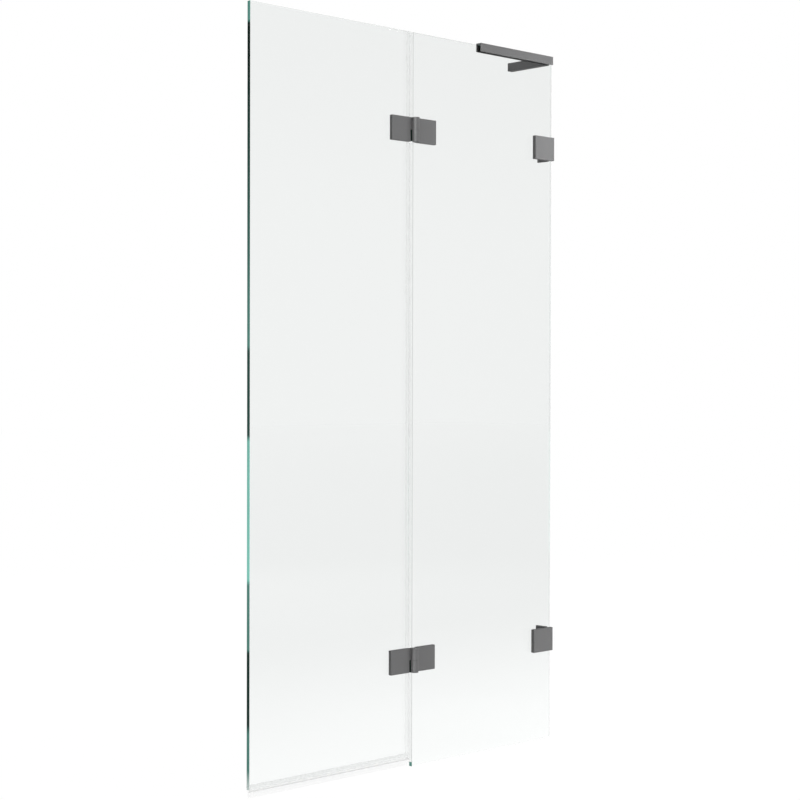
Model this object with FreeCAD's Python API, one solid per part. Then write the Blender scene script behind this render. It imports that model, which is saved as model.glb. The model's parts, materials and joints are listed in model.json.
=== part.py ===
import FreeCAD, Part
import os

from FreeCAD import Vector

# Frameless bath screen of two glass panes. The right pane is fixed to the wall by two glass clamps and
# steadied by an L-shaped stabiliser over its top edge. The left pane swings to the room side on two hinges.
# Lengths are millimetres. The wall is the plane X = 0, the middle of the glass is Y = 0 with the room at -Y,
# and the bath rim is Z = 0.

# Panes
glass_thickness = 8.0
pane_top = 1500.0           # top edge of both panes above the rim
fixed_pane_width = 424.0
moving_pane_width = 415.0
pane_gap = 9.0              # between the facing edges of the two panes
wall_gap = 2.0              # between the fixed pane and the wall
moving_pane_lift = 20.0     # bottom edge of the moving pane above the rim
arris = 0.8                 # ground bevel on every glass edge

# Hinge leaves and barrel
hinge_setback = 200.0       # hinge centre from the moving pane's top or bottom edge
hinge_height = 50.0
leaf_width = 51.2
leaf_thickness = 7.2
leaf_slot = 3.3             # open slot between the barrel and each leaf plate
barrel_radius = 7.5
barrel_stand = 12.1         # barrel axis in front of the glass
barrel_inset = 3.5          # barrel axis from the fixed pane's edge, over the gap
web_recess = 2.0            # front of the web behind the front of the leaf plate
web_bite = 1.0              # web's run into the leaf plate
web_root_share = 0.5        # start of the web's front edge, as a share of the barrel radius
metal_edge = 0.6            # rounding of the metal fittings' edges

# Hinge pin, bush, washer and caps
pin_radius = 3.5
bush_wall = 1.0
washer_thickness = 0.5
washer_radius = 6.5
cap_radius = 5.8
cap_thickness = 2.0

# Gaskets between metal and glass
gasket_thickness = 1.0
gasket_inset = 0.5

# Flush fixings of the hinge leaves, set in countersunk holes from the back of the glass
fixing_spacing = 26.0
glass_hole_radius = 7.0
glass_sink_radius = 10.0
glass_sink_depth = 3.0
screw_radius = 3.0
flush_head_radius = 8.6
flush_head_depth = 2.6
socket_across = 5.0         # across the flats of the hexagon sockets
socket_depth = 2.0
leaf_thread_depth = 5.0

# Wall clamps
clamp_width = 61.0
clamp_height = 51.0
clamp_thickness = 8.2
angle_leg_width = 38.0      # leg behind the glass, from the wall
angle_leg_height = 42.0
angle_leg_thickness = 6.0
flange_thickness = 5.0
flange_height = 50.0
flange_reach = 30.5         # behind the back of the glass
clamp_hole_setback = 24.0   # clamp screws from the wall
clamp_hole_radius = 6.0
clamp_head_radius = 5.6
clamp_head_depth = 2.6
clamp_thread_depth = 5.0
wall_hole_radius = 2.75
wall_sink_radius = 5.2
wall_sink_depth = 2.45
wall_hole_spacing = 26.0

# Stabiliser
rail_length = 230.0         # from the wall along the top of the fixed pane
rail_depth = 15.0
rail_height = 18.0
rail_rise = 4.7             # above the panes' top edge
liner_thickness = 0.7
liner_inset = 1.0
arm_reach = 116.0           # along the wall, from the middle of the glass
arm_wall = 2.5
arm_root = 16.0             # solid end of the arm behind the rail
plate_thickness = 6.0       # concealed plate on the wall
plate_hole_spacing = 46.0
plate_hole_radius = 2.25
plate_sink_radius = 4.4
plate_sink_depth = 2.15
corner_screw_radius = 1.5
corner_screw_spacing = 6.0
corner_screw_length = 12.0
corner_head_radius = 2.8
corner_head_depth = 1.3
set_screw_radius = 1.5
set_screw_spacing = 70.0

# Seals
seal_wall = 1.2
seal_grip = 12.2            # run of the clip on the moving pane's upright edge
seal_base = 1.0             # clip beyond that edge
bulb_thickness = 7.4
bulb_corner = 1.8           # rounding of the bulb's nose
bulb_foot = 9.0             # lower end of the bulb above the rim
bottom_grip = 10.0
bottom_base = 2.0
lip_thickness = 1.2
lip_foot = 3.5              # lower end of the lip above the rim

# Clearances
seat_clearance = 0.05       # fixed pieces in their seats, on the radius
running_clearance = 0.05    # turning pieces, on the radius and endwise
pin_end_clearance = 0.4
glass_clearance = 0.1       # plastic pieces in the glass holes
plate_clearance = 0.3       # concealed plate in the arm's pocket
hinge_seal_clearance = 0.8  # ends of the edge seals from the hinges
bulb_clearance = 0.3        # bulb from the fixed pane
tip_clearance = 0.3         # screw tips from the ends of blind holes
overrun = 2.0               # cutting tools beyond the faces they cut

# Places worked out from the sizes above
half_glass = glass_thickness / 2
fixed_wall_end = -wall_gap
fixed_free_end = fixed_wall_end - fixed_pane_width
moving_near_end = fixed_free_end - pane_gap
moving_free_end = moving_near_end - moving_pane_width
axis_x = fixed_free_end - barrel_inset
axis_y = -half_glass - barrel_stand
levels = {"upper": pane_top - hinge_setback, "lower": moving_pane_lift + hinge_setback}
fixing_offsets = (-fixing_spacing / 2, fixing_spacing / 2)
leaf_back = -half_glass - gasket_thickness
leaf_front = leaf_back - leaf_thickness
leaf_start = barrel_radius + leaf_slot
leaf_middle = leaf_start + leaf_width / 2
clamp_back = -half_glass - gasket_thickness
angle_front = half_glass + gasket_thickness
angle_leg_back = angle_front + angle_leg_thickness
flange_back = half_glass + flange_reach
wall_hole_y = (angle_leg_back + flange_back) / 2
rail_top = pane_top + rail_rise
rail_foot = rail_top - rail_height
slot_half = half_glass + liner_thickness
slot_top = pane_top + liner_thickness
slot_middle_z = (rail_foot + slot_top) / 2
arm_start = rail_depth / 2
pocket_start = arm_start + arm_root
pocket_end = arm_reach - arm_wall
pocket_middle_y = (pocket_start + pocket_end) / 2
arm_middle_z = (rail_foot + rail_top) / 2

along_x = Vector(1, 0, 0)
along_y = Vector(0, 1, 0)
along_z = Vector(0, 0, 1)
parts = {}


def block(x_span, y_span, z_span):
    """Box between pairs of coordinates."""
    low = Vector(x_span[0], y_span[0], z_span[0])
    return Part.makeBox(x_span[1] - x_span[0], y_span[1] - y_span[0], z_span[1] - z_span[0], low)


def eased(shape, sharp_y=None):
    """Rounds every edge of a box, but those that lie in the plane y = sharp_y against the glass."""
    edges = [edge for edge in shape.Edges
             if sharp_y is None or any(round(v.Y - sharp_y, 6) for v in edge.Vertexes)]
    return shape.makeFillet(metal_edge, edges)


def rod(radius, start, end, axis_point, axis):
    """Cylinder along one axis between two coordinates on it, through axis_point."""
    base = axis_point + axis * start
    return Part.makeCylinder(radius, end - start, base, axis)


def hexagon_socket(face, centre, direction):
    """Six-sided cutting prism that sinks from a screw head's face along direction."""
    corner = socket_across / 3 ** 0.5
    prism = Part.Face(Part.makePolygon([
        FreeCAD.Rotation(direction, 60 * step).multVec(along_z * corner) for step in range(7)]))
    prism.translate(centre + direction * face)
    return prism.extrude(direction * socket_depth)


def fused(shapes):
    """One solid from overlapping shapes, without seams between coplanar faces."""
    return shapes[0].multiFuse(shapes[1:]).removeSplitter()


def group(shapes):
    """Separate solids kept in one node."""
    return Part.makeCompound(shapes)


def pane(x_span, z_span):
    """Sheet of glass with its edges ground."""
    sheet = block(x_span, (-half_glass, half_glass), z_span)
    return sheet.makeChamfer(arris, sheet.Edges)


def leaf_fixing_hole(place):
    """Tool for a leaf's hole in the glass: a straight bore with a countersink from the back."""
    bore = rod(glass_hole_radius, -half_glass - overrun, half_glass + overrun, place, along_y)
    sink = Part.makeCone(glass_hole_radius, glass_sink_radius, glass_sink_depth,
                         place + along_y * (half_glass - glass_sink_depth), along_y)
    return bore.fuse(sink)


def flush_screw(place, grow):
    """Countersunk screw flush with the back of the glass, or its seat when grown by a clearance."""
    head = Part.makeCone(screw_radius + grow, flush_head_radius + grow, flush_head_depth,
                         place + along_y * (half_glass - flush_head_depth), along_y)
    tip = leaf_back - leaf_thread_depth
    shank = rod(screw_radius + grow, tip, half_glass - flush_head_depth, place, along_y)
    return head.fuse(shank)


def leaf_insert(place):
    """Plastic cone that keeps a flush screw off the glass."""
    sleeve = rod(glass_hole_radius - glass_clearance, -half_glass, half_glass, place, along_y)
    rim = Part.makeCone(glass_hole_radius - glass_clearance, glass_sink_radius - glass_clearance,
                        glass_sink_depth, place + along_y * (half_glass - glass_sink_depth), along_y)
    return fused([sleeve, rim]).cut(flush_screw(place, seat_clearance))


def hinge_leaf(side, level, bore_radius, knuckle_gap):
    """Leaf plate, web and knuckle. The fixed leaf (side 1) has its knuckle below, the moving one above."""
    plate = eased(block((leaf_start, leaf_start + leaf_width), (leaf_front - axis_y, leaf_back - axis_y),
                        (-hinge_height / 2, hinge_height / 2)), sharp_y=leaf_back - axis_y)
    knuckle_length = hinge_height / 2 - knuckle_gap
    foot = Vector(0, 0, -hinge_height / 2)
    knuckle = Part.makeCylinder(barrel_radius, knuckle_length, foot, along_z)
    web_end = leaf_start + web_bite
    outline = [Vector(0, barrel_radius * web_root_share, 0),
               Vector(web_end, leaf_front - axis_y + web_recess, 0),
               Vector(web_end, leaf_back - axis_y, 0),
               Vector(0, barrel_radius, 0)]
    web = Part.Face(Part.makePolygon(outline + outline[:1])).extrude(along_z * knuckle_length)
    web.translate(foot)
    leaf = fused([plate, web, knuckle])
    leaf = leaf.cut(rod(bore_radius, -hinge_height / 2 - overrun, overrun, Vector(), along_z))
    leaf = leaf.cut(rod(cap_radius + seat_clearance, -hinge_height / 2 - overrun,
                        -hinge_height / 2 + cap_thickness, Vector(), along_z))
    for offset in fixing_offsets:
        centre = Vector(leaf_middle, 0, offset)
        leaf = leaf.cut(rod(screw_radius + seat_clearance,
                            leaf_back - axis_y - leaf_thread_depth - tip_clearance,
                            leaf_back - axis_y + overrun, centre, along_y))
    if side < 0:
        leaf.rotate(Vector(), along_y, 180)
    leaf.translate(Vector(axis_x, axis_y, level))
    return leaf


def leaf_gasket(side, level, places):
    """Soft pad between a leaf plate and the glass."""
    ends = sorted((axis_x + side * (leaf_start + gasket_inset),
                   axis_x + side * (leaf_start + leaf_width - gasket_inset)))
    half = hinge_height / 2 - gasket_inset
    pad = block(ends, (leaf_back, -half_glass), (level - half, level + half))
    for place in places:
        pad = pad.cut(rod(screw_radius + glass_clearance, leaf_back - overrun, overrun, place, along_y))
    return pad


def build_leaf(name, side, level, bore_radius, knuckle_gap):
    """One hinge leaf with its pad, inserts and screws. Returns the places of its holes in the glass."""
    places = [Vector(axis_x + side * leaf_middle, 0, level + offset) for offset in fixing_offsets]
    parts[name] = hinge_leaf(side, level, bore_radius, knuckle_gap)
    parts[name + "_gasket"] = leaf_gasket(side, level, places)
    parts[name + "_inserts"] = group([leaf_insert(place) for place in places])
    parts[name + "_screws"] = group([
        flush_screw(place, 0).cut(hexagon_socket(-half_glass, place, -along_y)) for place in places])
    return places


def build_hinge(name, level):
    """Both leaves of a hinge and what turns in its barrel. Returns the holes in the fixed and moving pane."""
    centre = Vector(axis_x, axis_y, level)
    half_height = hinge_height / 2
    lower_end = -washer_thickness / 2
    upper_end = washer_thickness / 2 + running_clearance
    bush_radius = pin_radius + bush_wall
    fixed_holes = build_leaf(name + "_fixed_leaf", 1, level, pin_radius + seat_clearance, -lower_end)
    moving_holes = build_leaf(name + "_moving_leaf", -1, level, bush_radius + seat_clearance, upper_end)
    inner_foot = -half_height + cap_thickness
    inner_top = half_height - cap_thickness
    parts[name + "_hinge_pin"] = rod(pin_radius, inner_foot, inner_top - pin_end_clearance, centre, along_z)
    pin_way = rod(pin_radius + running_clearance, -half_height, half_height, centre, along_z)
    parts[name + "_hinge_bush"] = rod(bush_radius, upper_end, inner_top, centre, along_z).cut(pin_way)
    parts[name + "_hinge_washer"] = rod(washer_radius, lower_end, -lower_end, centre, along_z).cut(pin_way)
    parts[name + "_hinge_foot_cap"] = rod(cap_radius, -half_height, inner_foot, centre, along_z)
    parts[name + "_hinge_top_cap"] = rod(cap_radius, inner_top, half_height, centre, along_z)
    return fixed_holes, moving_holes


def clamp_screw(place, grow):
    """Countersunk screw from behind the wall angle, or its seat when grown by a clearance."""
    head = Part.makeCone(screw_radius + grow, clamp_head_radius + grow, clamp_head_depth,
                         place + along_y * (angle_leg_back - clamp_head_depth), along_y)
    shank = rod(screw_radius + grow, clamp_back - clamp_thread_depth,
                angle_leg_back - clamp_head_depth, place, along_y)
    return head.fuse(shank)


def wall_screw_seat(place, radius, sink_radius, sink_depth, depth):
    """Tool for a wall screw's countersunk hole through a plate of the given depth on the wall."""
    bore = rod(radius, -depth - overrun, overrun, place, along_x)
    sink = Part.makeCone(sink_radius, radius, sink_depth, place - along_x * depth, along_x)
    return bore.fuse(sink)


def build_clamp(name, level):
    """Wall angle and front plate that grip the fixed pane. Returns the places of its holes in the glass."""
    places = [Vector(-clamp_hole_setback, 0, level + offset) for offset in fixing_offsets]
    half_clamp = clamp_height / 2
    half_leg = angle_leg_height / 2
    half_flange = flange_height / 2
    plate = eased(block((fixed_wall_end - clamp_width, fixed_wall_end),
                        (clamp_back - clamp_thickness, clamp_back),
                        (level - half_clamp, level + half_clamp)), sharp_y=clamp_back)
    leg = eased(block((-angle_leg_width, 0), (angle_front, angle_leg_back),
                      (level - half_leg, level + half_leg)), sharp_y=angle_front)
    flange = block((-flange_thickness, 0), (angle_front, flange_back),
                   (level - half_flange, level + half_flange))
    angle = fused([leg, flange])
    for step in (-1, 1):
        hole = Vector(0, wall_hole_y, level + step * wall_hole_spacing / 2)
        angle = angle.cut(wall_screw_seat(hole, wall_hole_radius, wall_sink_radius, wall_sink_depth,
                                          flange_thickness))
    inset = gasket_inset
    front_pad = block((fixed_wall_end - clamp_width + inset, fixed_wall_end - inset),
                      (clamp_back, -half_glass),
                      (level - half_clamp + inset, level + half_clamp - inset))
    back_pad = block((-angle_leg_width + inset, fixed_wall_end - inset),
                     (half_glass, angle_front),
                     (level - half_leg + inset, level + half_leg - inset))
    sleeves = []
    screws = []
    for place in places:
        seat = clamp_screw(place, seat_clearance)
        blind = rod(screw_radius + seat_clearance, clamp_back - clamp_thread_depth - tip_clearance,
                    clamp_back + overrun, place, along_y)
        plate = plate.cut(blind)
        angle = angle.cut(seat)
        front_pad = front_pad.cut(seat)
        back_pad = back_pad.cut(seat)
        sleeve = rod(clamp_hole_radius - glass_clearance, -half_glass, half_glass, place, along_y)
        sleeves.append(sleeve.cut(seat))
        screws.append(clamp_screw(place, 0).cut(hexagon_socket(-angle_leg_back, place, -along_y)))
    parts[name + "_clamp_plate"] = plate
    parts[name + "_wall_angle"] = angle
    parts[name + "_clamp_front_gasket"] = front_pad
    parts[name + "_clamp_back_gasket"] = back_pad
    parts[name + "_clamp_sleeves"] = group(sleeves)
    parts[name + "_clamp_screws"] = group(screws)
    return places


def corner_screw(place, grow):
    """Countersunk screw from the rail's slot into the wall arm, or its seat when grown by a clearance."""
    head = Part.makeCone(corner_head_radius + grow, corner_screw_radius + grow, corner_head_depth,
                         place + along_y * slot_half, along_y)
    shank = rod(corner_screw_radius + grow, slot_half + corner_head_depth,
                slot_half + corner_screw_length, place, along_y)
    return head.fuse(shank)


def build_stabiliser():
    """Channel over the fixed pane's top edge, arm along the wall, and what holds them together."""
    z_span = (rail_foot, rail_top)
    rail = eased(block((-rail_length, 0), (-rail_depth / 2, rail_depth / 2), z_span))
    rail = rail.cut(block((-rail_length - overrun, overrun), (-slot_half, slot_half),
                          (rail_foot - overrun, slot_top)))
    liner = block((-rail_length + liner_inset, fixed_wall_end), (-slot_half, slot_half),
                  (rail_foot + liner_inset, slot_top))
    liner = liner.cut(block((-rail_length, 0), (-half_glass, half_glass), (rail_foot, pane_top)))
    arm = eased(block((-rail_depth, 0), (arm_start, arm_reach), z_span), sharp_y=arm_start)
    pocket_z = (rail_foot + arm_wall, rail_top - arm_wall)
    arm = arm.cut(block((-rail_depth + arm_wall, overrun), (pocket_start, pocket_end), pocket_z))
    plate_z = (pocket_z[0] + plate_clearance, pocket_z[1] - plate_clearance)
    plate_y = (pocket_start + plate_clearance, pocket_end - plate_clearance)
    plate = block((-plate_thickness, 0), plate_y, plate_z)
    corner_screws = []
    set_screws = []
    for step in (-1, 1):
        hole = Vector(0, pocket_middle_y + step * plate_hole_spacing / 2, arm_middle_z)
        plate = plate.cut(wall_screw_seat(hole, plate_hole_radius, plate_sink_radius, plate_sink_depth,
                                          plate_thickness))
        corner = Vector(-rail_depth / 2 + step * corner_screw_spacing / 2, 0, slot_middle_z)
        seat = corner_screw(corner, seat_clearance)
        rail = rail.cut(seat)
        arm = arm.cut(seat.fuse(rod(corner_screw_radius + seat_clearance, slot_half,
                                    slot_half + corner_screw_length + tip_clearance, corner, along_y)))
        corner_screws.append(corner_screw(corner, 0))
        place = Vector(-plate_thickness / 2, pocket_middle_y + step * set_screw_spacing / 2, 0)
        arm = arm.cut(rod(set_screw_radius + seat_clearance, rail_foot - overrun, pocket_z[0] + overrun,
                          place, along_z))
        set_screws.append(rod(set_screw_radius, rail_foot, plate_z[0], place, along_z))
    parts["stabiliser_rail"] = rail
    parts["stabiliser_liner"] = liner
    parts["stabiliser_arm"] = arm
    parts["stabiliser_wall_plate"] = plate
    parts["stabiliser_corner_screws"] = group(corner_screws)
    parts["stabiliser_set_screws"] = group(set_screws)


def edge_seal(clip_span, bulb_span):
    """Length of the clip on the moving pane's upright edge, with the soft bulb that closes the gap."""
    outer = half_glass + seal_wall
    clip_end = moving_near_end + seal_base
    clip = block((moving_near_end - seal_grip, clip_end), (-outer, outer), clip_span)
    clip = clip.cut(block((moving_near_end - seal_grip - overrun, moving_near_end), (-half_glass, half_glass),
                          (clip_span[0] - overrun, clip_span[1] + overrun)))
    bulb_end = fixed_free_end - bulb_clearance
    bulb = block((clip_end, bulb_end), (-bulb_thickness / 2, bulb_thickness / 2), bulb_span)
    nose = [edge for edge in bulb.Edges
            if not any(round(v.X - bulb_end, 6) for v in edge.Vertexes)
            and round(edge.Vertexes[0].Z - edge.Vertexes[1].Z, 6)]
    return fused([clip, bulb.makeFillet(bulb_corner, nose)])


def build_seals():
    """Seal strips of the moving pane, and the strip between the fixed pane and the wall."""
    cut_back = hinge_height / 2 + hinge_seal_clearance
    upper_span = (levels["upper"] + cut_back, pane_top)
    middle_span = (levels["lower"] + cut_back, levels["upper"] - cut_back)
    clip_foot = moving_pane_lift + bottom_grip
    lower_end = levels["lower"] - cut_back
    parts["upper_edge_seal"] = edge_seal(upper_span, upper_span)
    parts["middle_edge_seal"] = edge_seal(middle_span, middle_span)
    parts["lower_edge_seal"] = edge_seal((clip_foot, lower_end), (bulb_foot, lower_end))
    outer = half_glass + seal_wall
    base_foot = moving_pane_lift - bottom_base
    x_span = (moving_free_end, moving_near_end)
    clip = block(x_span, (-outer, outer), (base_foot, clip_foot))
    clip = clip.cut(block((x_span[0] - overrun, x_span[1] + overrun), (-half_glass, half_glass),
                          (moving_pane_lift, clip_foot + overrun)))
    lip = block(x_span, (-lip_thickness / 2, lip_thickness / 2), (lip_foot, base_foot))
    parts["bottom_seal"] = fused([clip, lip])
    strip_half = half_glass - arris
    parts["wall_edge_seal"] = block((fixed_wall_end, 0), (-strip_half, strip_half), (0, rail_foot))


def build_panes(fixed_leaf_holes, moving_leaf_holes, clamp_holes):
    """Both sheets of glass, drilled for their fittings."""
    fixed = pane((fixed_free_end, fixed_wall_end), (0, pane_top))
    moving = pane((moving_free_end, moving_near_end), (moving_pane_lift, pane_top))
    for place in fixed_leaf_holes:
        fixed = fixed.cut(leaf_fixing_hole(place))
    for place in clamp_holes:
        fixed = fixed.cut(rod(clamp_hole_radius, -half_glass - overrun, half_glass + overrun, place, along_y))
    for place in moving_leaf_holes:
        moving = moving.cut(leaf_fixing_hole(place))
    parts["fixed_pane"] = fixed
    parts["moving_pane"] = moving


def main():
    """Builds every piece and writes one file for each."""
    fixed_leaf_holes = []
    moving_leaf_holes = []
    clamp_holes = []
    for name, level in levels.items():
        fixed_holes, moving_holes = build_hinge(name, level)
        fixed_leaf_holes += fixed_holes
        moving_leaf_holes += moving_holes
        clamp_holes += build_clamp(name, level)
    build_panes(fixed_leaf_holes, moving_leaf_holes, clamp_holes)
    build_stabiliser()
    build_seals()
    os.makedirs("parts", exist_ok=True)
    for name, shape in parts.items():
        shape.exportStep("parts/" + name + ".step")
        print(name, len(shape.Solids), "solids", round(shape.Volume, 1), "mm3, valid:", shape.isValid())


main()
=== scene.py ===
"""Looks of a frameless bath screen: two glass panes, hinges, wall clamps, stabiliser and clear seals."""

import json
import logging
import math
from dataclasses import dataclass
from enum import Enum
from typing import Any, Callable, Mapping, Optional, Union

import bmesh
import bpy
from mathutils import Matrix, Vector


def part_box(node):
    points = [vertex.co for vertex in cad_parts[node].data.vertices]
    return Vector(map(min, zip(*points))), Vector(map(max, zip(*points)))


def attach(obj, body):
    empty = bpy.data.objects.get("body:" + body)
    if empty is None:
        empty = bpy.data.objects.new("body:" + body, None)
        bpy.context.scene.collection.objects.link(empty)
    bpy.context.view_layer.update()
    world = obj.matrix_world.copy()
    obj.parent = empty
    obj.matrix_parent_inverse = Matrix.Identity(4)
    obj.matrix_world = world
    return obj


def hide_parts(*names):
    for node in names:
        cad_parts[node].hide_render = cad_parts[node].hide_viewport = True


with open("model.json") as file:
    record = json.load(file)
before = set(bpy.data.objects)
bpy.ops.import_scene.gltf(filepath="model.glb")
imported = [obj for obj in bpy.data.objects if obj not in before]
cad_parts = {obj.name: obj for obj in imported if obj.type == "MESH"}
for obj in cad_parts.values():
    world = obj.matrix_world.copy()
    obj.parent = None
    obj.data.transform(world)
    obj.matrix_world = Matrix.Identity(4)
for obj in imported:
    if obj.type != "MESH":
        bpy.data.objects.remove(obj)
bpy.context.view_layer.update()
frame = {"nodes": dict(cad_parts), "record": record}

log = logging.getLogger("bath_screen")

Triple = tuple[float, float, float]
Colour = Triple
Reach = tuple[float, float]
# Takes a middle and a normal or direction.
PlaceTest = Callable[[Vector, Vector], bool]

MERGE_DISTANCE = 1e-6
SMOOTH_ANGLE = math.radians(35)
FLAT_ANGLE = math.radians(1)
# Least part of a normal or direction along an axis that counts as along it.
ALONG_AXIS = 0.9
GLASS_THICKNESS = 0.008
# Room between a seal and its glass.
GLASS_GAP = 0.00005
GLASS_TINT: Colour = (0.926, 0.943, 0.935)
# Refraction inside a sheet, so low that what stands behind hardly shifts.
GLASS_SHIFT = 1.02
BLACK: Colour = (0.0, 0.0, 0.0)
WHITE: Colour = (1.0, 1.0, 1.0)
# Shares of a noise's scale along the axes.
EVEN: Triple = (1.0, 1.0, 1.0)
STREAKS_UPRIGHT: Triple = (1.0, 1.0, 0.02)
STREAKS_ALONG: Triple = (0.02, 1.0, 1.0)
GLINT_LAMP = "glint_lamp"


class Body(Enum):
    """CAD bodies that pieces ride on."""

    FIXED = "fixed_side"
    MOVING = "moving_panel"


class Slot(Enum):
    """Material slots of the record."""

    GLASS = "clear_glass"
    METAL = "satin_grey_metal"
    STEEL = "steel"
    PVC = "clear_pvc"
    NYLON = "white_nylon"
    DARK_NYLON = "dark_nylon"
    GASKET = "soft_gasket"


class Value:
    """Value socket that works in sums, as a number does. Each sum adds its Math node."""

    def __init__(self, tree: bpy.types.NodeTree, socket: bpy.types.NodeSocket) -> None:
        """Wraps a socket of a node tree."""
        self.tree = tree
        self.socket = socket

    def combine(self, operation: str, first: "Operand", second: "Operand") -> "Value":
        """Adds one Math node.

        Args:
            operation: the node's operation.
            first: first operand, a socket or a number.
            second: second operand, a socket or a number.

        Returns:
            The node's result.
        """
        node = self.tree.nodes.new("ShaderNodeMath")
        node.operation = operation
        for socket, operand in zip(node.inputs, (first, second)):
            if isinstance(operand, Value):
                self.tree.links.new(operand.socket, socket)
            else:
                socket.default_value = operand
        return Value(self.tree, node.outputs[0])

    def __add__(self, other: "Operand") -> "Value":
        """Sum."""
        return self.combine("ADD", self, other)

    def __radd__(self, other: "Operand") -> "Value":
        """Sum with a number first."""
        return self.combine("ADD", other, self)

    def __sub__(self, other: "Operand") -> "Value":
        """Difference."""
        return self.combine("SUBTRACT", self, other)

    def __rsub__(self, other: "Operand") -> "Value":
        """Difference from a number."""
        return self.combine("SUBTRACT", other, self)

    def __mul__(self, other: "Operand") -> "Value":
        """Product."""
        return self.combine("MULTIPLY", self, other)

    def __rmul__(self, other: "Operand") -> "Value":
        """Product with a number first."""
        return self.combine("MULTIPLY", other, self)

    def at_most(self, other: "Operand") -> "Value":
        """Lesser of two values."""
        return self.combine("MINIMUM", self, other)

    def at_least(self, other: "Operand") -> "Value":
        """Greater of two values."""
        return self.combine("MAXIMUM", self, other)


Operand = Union[Value, float]


class Recipe:
    """Node tree under construction, of a material or of the world."""

    def __init__(self, tree: bpy.types.NodeTree) -> None:
        """Starts from an empty tree."""
        self.tree = tree
        tree.nodes.clear()

    def node(self, kind: str, settings: Optional[Mapping[str, Any]] = None,
             sockets: Optional[Mapping[Union[str, int], Any]] = None) -> bpy.types.Node:
        """Adds any node.

        Args:
            kind: the node's type.
            settings: the node's own settings.
            sockets: numbers, colours or links, by the input's name or place.

        Returns:
            The new node.
        """
        made = self.tree.nodes.new(kind)
        for name, value in (settings or {}).items():
            setattr(made, name, value)
        for name, value in (sockets or {}).items():
            self.feed(made.inputs[name], value)
        return made

    def feed(self, socket: bpy.types.NodeSocket, value: Any) -> None:
        """Links or sets one input.

        Args:
            socket: the input.
            value: a socket, a wrapped value, a colour of three parts or a plain number.
        """
        if isinstance(value, Value):
            value = value.socket
        if isinstance(value, bpy.types.NodeSocket):
            self.tree.links.new(value, socket)
        elif socket.type == "RGBA":
            socket.default_value = (*value, 1.0)
        else:
            socket.default_value = value

    def value(self, node: bpy.types.Node, output: Union[str, int] = 0) -> Value:
        """A node's output, ready for sums."""
        return Value(self.tree, node.outputs[output])

    def place(self) -> bpy.types.NodeSocket:
        """Object coordinates."""
        return self.node("ShaderNodeTexCoord").outputs["Object"]

    def parts(self, vector: bpy.types.NodeSocket) -> tuple[Value, Value, Value]:
        """X, Y and Z of a vector, ready for sums."""
        made = self.node("ShaderNodeSeparateXYZ", None, {"Vector": vector})
        return self.value(made, "X"), self.value(made, "Y"), self.value(made, "Z")

    def noise(self, scale: float, detail: float = 2.0, pace: Triple = EVEN) -> Value:
        """Noise between 0 and 1 on Object coordinates.

        Args:
            scale: features a metre.
            detail: octaves of finer noise.
            pace: share of the scale along each axis; a small share draws the noise out to streaks.

        Returns:
            The noise.
        """
        place = self.node("ShaderNodeVectorMath", {"operation": "MULTIPLY"}, {0: self.place(), 1: pace})
        made = self.node("ShaderNodeTexNoise", {"noise_dimensions": "3D"},
                         {"Vector": place.outputs[0], "Scale": scale, "Detail": detail})
        return self.value(made, "Fac")

    def blend(self, share: Operand, first: Any, second: Any) -> bpy.types.NodeSocket:
        """Mixes two colours.

        Args:
            share: share of the second colour.
            first: a colour or a link to one.
            second: a colour or a link to one.

        Returns:
            The mixed colour.
        """
        made = self.node("ShaderNodeMix", {"data_type": "RGBA"}, {0: share, 6: first, 7: second})
        return made.outputs[2]

    def ramp(self, value: Value, start: float, end: float) -> Value:
        """Straight step from 0 at start to 1 at end."""
        made = self.node("ShaderNodeMapRange", None, {"Value": value, "From Min": start, "From Max": end})
        return self.value(made, "Result")

    def rise(self, value: Value, start: float, end: float) -> Value:
        """Smooth step from 0 at start to 1 at end."""
        made = self.node("ShaderNodeMapRange", {"interpolation_type": "SMOOTHSTEP"},
                         {"Value": value, "From Min": start, "From Max": end})
        return self.value(made, "Result")

    @staticmethod
    def between(share: Value, reach: Reach) -> Value:
        """Value that goes from the first of a reach to the second while a share goes from 0 to 1."""
        return reach[0] + (reach[1] - reach[0]) * share

    def bump(self, height: Value, strength: float, distance: float) -> bpy.types.NodeSocket:
        """Surface relief for a Normal input.

        Args:
            height: relief between 0 and 1.
            strength: how much of it shows.
            distance: its depth in metres.

        Returns:
            The normal.
        """
        made = self.node("ShaderNodeBump", None,
                         {"Height": height, "Strength": strength, "Distance": distance})
        return made.outputs["Normal"]

    def principled(self, sockets: Mapping[str, Any]) -> bpy.types.NodeSocket:
        """A Principled BSDF with these inputs."""
        return self.node("ShaderNodeBsdfPrincipled", None, sockets).outputs["BSDF"]

    def mixed(self, share: Operand, first: bpy.types.NodeSocket,
              second: bpy.types.NodeSocket) -> bpy.types.NodeSocket:
        """Mix of two shaders.

        Args:
            share: share of the second shader.
            first: the first shader.
            second: the second shader.

        Returns:
            The mixed shader.
        """
        return self.node("ShaderNodeMixShader", None, {0: share, 1: first, 2: second}).outputs[0]

    def surface(self, shader: bpy.types.NodeSocket, kind: str = "ShaderNodeOutputMaterial") -> None:
        """Ends the tree in its output node."""
        self.node(kind, None, {"Surface": shader})


@dataclass(frozen=True)
class Finish:
    """What all finishes share: a name and a way to become a material."""

    name: str

    def shade(self, recipe: Recipe) -> bpy.types.NodeSocket:
        """Builds the finish's nodes and returns its shader."""
        raise NotImplementedError

    def make(self) -> bpy.types.Material:
        """Makes the material."""
        material = bpy.data.materials.new(self.name)
        material.use_nodes = True
        recipe = Recipe(material.node_tree)
        recipe.surface(self.shade(recipe))
        return material


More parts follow.
